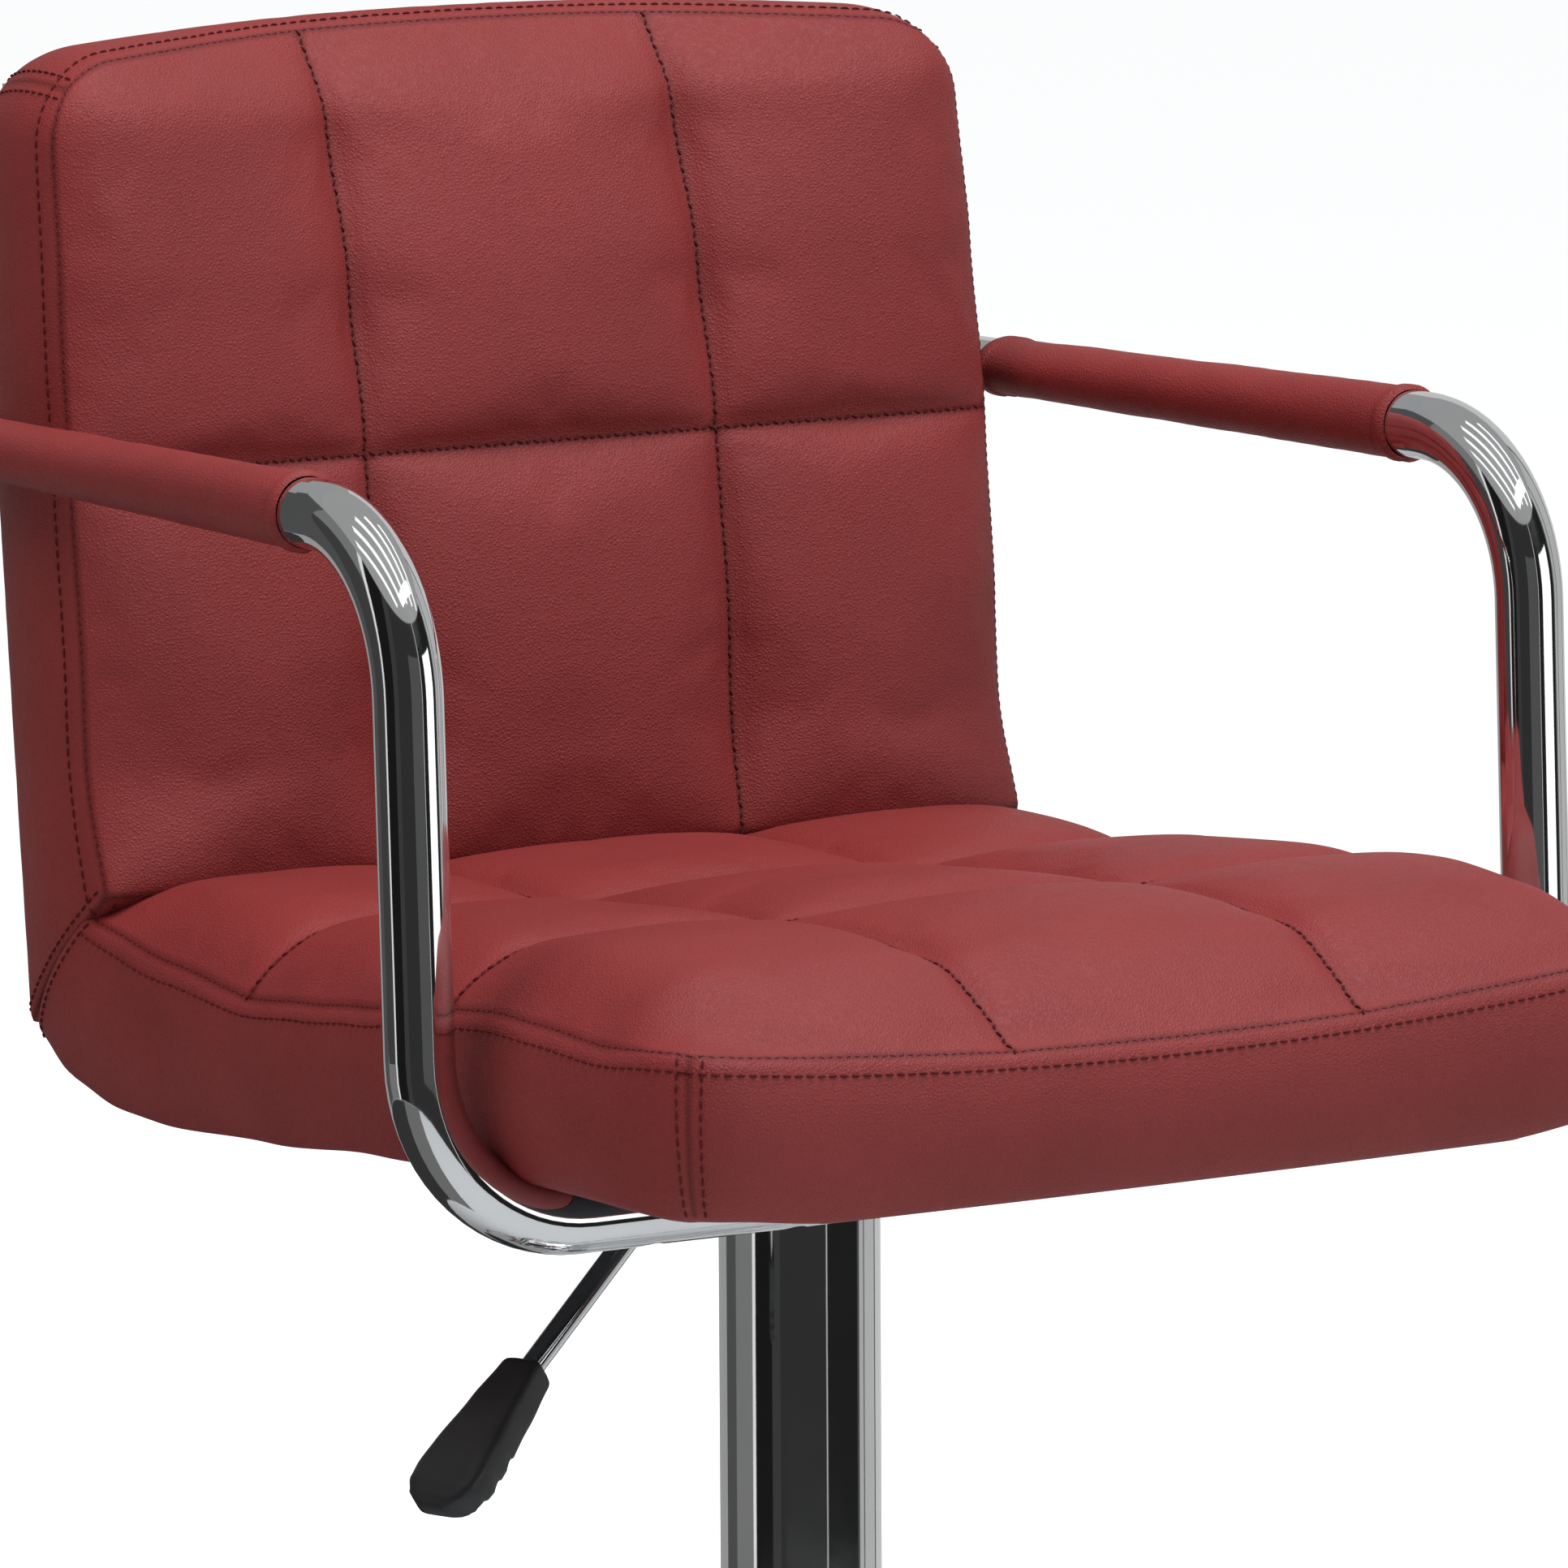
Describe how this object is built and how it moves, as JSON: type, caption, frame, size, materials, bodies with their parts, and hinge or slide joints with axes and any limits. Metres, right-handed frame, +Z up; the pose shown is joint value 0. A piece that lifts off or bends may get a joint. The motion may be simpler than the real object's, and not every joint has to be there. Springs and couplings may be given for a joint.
{
  "type": "adjustable swivel stool",
  "caption": "Height-adjustable swivel stool with a quilted vinyl seat and back, padded chrome arms, a footrest, a gas lift with a hand lever and a round weighted base.",
  "frame": {"origin": "on the floor, on the axis of the column, under the centre of the round base", "axes": "+Z up along the column, -Y the way the sitter faces, +X to the sitter's left"},
  "size_m": [0.5094, 0.5333, 0.922],
  "materials": {
    "chrome": "polished",
    "rubber_black": "matt",
    "cast_iron": "rough",
    "steel_zinc": "plated",
    "steel_black": "satin",
    "plastic_black": "fine texture",
    "plastic_white": "satin",
    "vinyl_burgundy": "fine grained, slightly glossy",
    "plywood": "bare",
    "dust_cloth": "matt"
  },
  "bodies": {
    "base": {"floor_ring": "rubber_black", "base_dish": "chrome", "ballast_disc": "cast_iron", "base_flange": "steel_black", "base_bolts": "steel_zinc", "column_skirt": "chrome", "lower_tube": "chrome", "tube_end_plate": "steel_black", "guide_bush": "plastic_white", "footrest_collar": "chrome", "footrest_loop": "chrome", "collar_screws": "steel_zinc", "lower_race": "steel_zinc"},
    "spindle": {"piston_rod": "steel_zinc", "piston_head": "steel_black", "rod_clip": "steel_zinc", "rod_washer": "steel_zinc", "bearing_cage": "plastic_white", "bearing_balls": "steel_zinc", "upper_race": "steel_zinc"},
    "seat": {"gas_tube": "steel_black", "gas_tube_seal": "plastic_white", "cover_sleeve": "chrome", "sleeve_glide": "plastic_black", "sleeve_cap": "plastic_black", "taper_socket": "steel_black", "lever_bracket": "steel_black", "lever_pin": "steel_zinc", "seat_plate": "steel_black", "plate_screws": "steel_zinc", "tee_nuts": "steel_zinc", "seat_shell": "plywood", "dust_cover": "dust_cloth", "arm_seat_screws": "steel_zinc", "arm_back_screws": "steel_zinc", "arm_end_plugs": "plastic_black", "seat_cushion": "vinyl_burgundy", "back_cushion": "vinyl_burgundy", "arm_tube_left": "chrome", "arm_tube_right": "chrome", "arm_pad_left": "vinyl_burgundy", "arm_pad_right": "vinyl_burgundy"},
    "lever": {"lever_rod": "chrome", "lever_tongue": "steel_black", "lever_handle": "plastic_black"},
    "release_pin": {"release_pin": "steel_zinc"}
  },
  "joints": [
    {"name": "swivel", "type": "hinge", "parent": "base", "child": "spindle", "pos_m": [0, 0, 0.05], "axis": [0, 0, 1], "continuous": true},
    {"name": "lift", "type": "slide", "parent": "spindle", "child": "seat", "axis": [0, 0, 1], "range_m": [0, 0.2]},
    {"name": "lever_pull", "type": "hinge", "parent": "seat", "child": "lever", "pos_m": [-0.02067, -0.00752, 0.511], "axis": [-0.342, 0.9397, 0], "range_deg": [0, 8], "stiffness_Nm_per_rad": 1.5, "springref_deg": -2.86},
    {"name": "release_press", "type": "slide", "parent": "seat", "child": "release_pin", "axis": [0, 0, -1], "range_m": [0, 0.0032]}
  ],
  "couplings": [
    {"joint": "release_press", "follows": "lever_pull", "m_per_rad": 0.022}
  ]
}
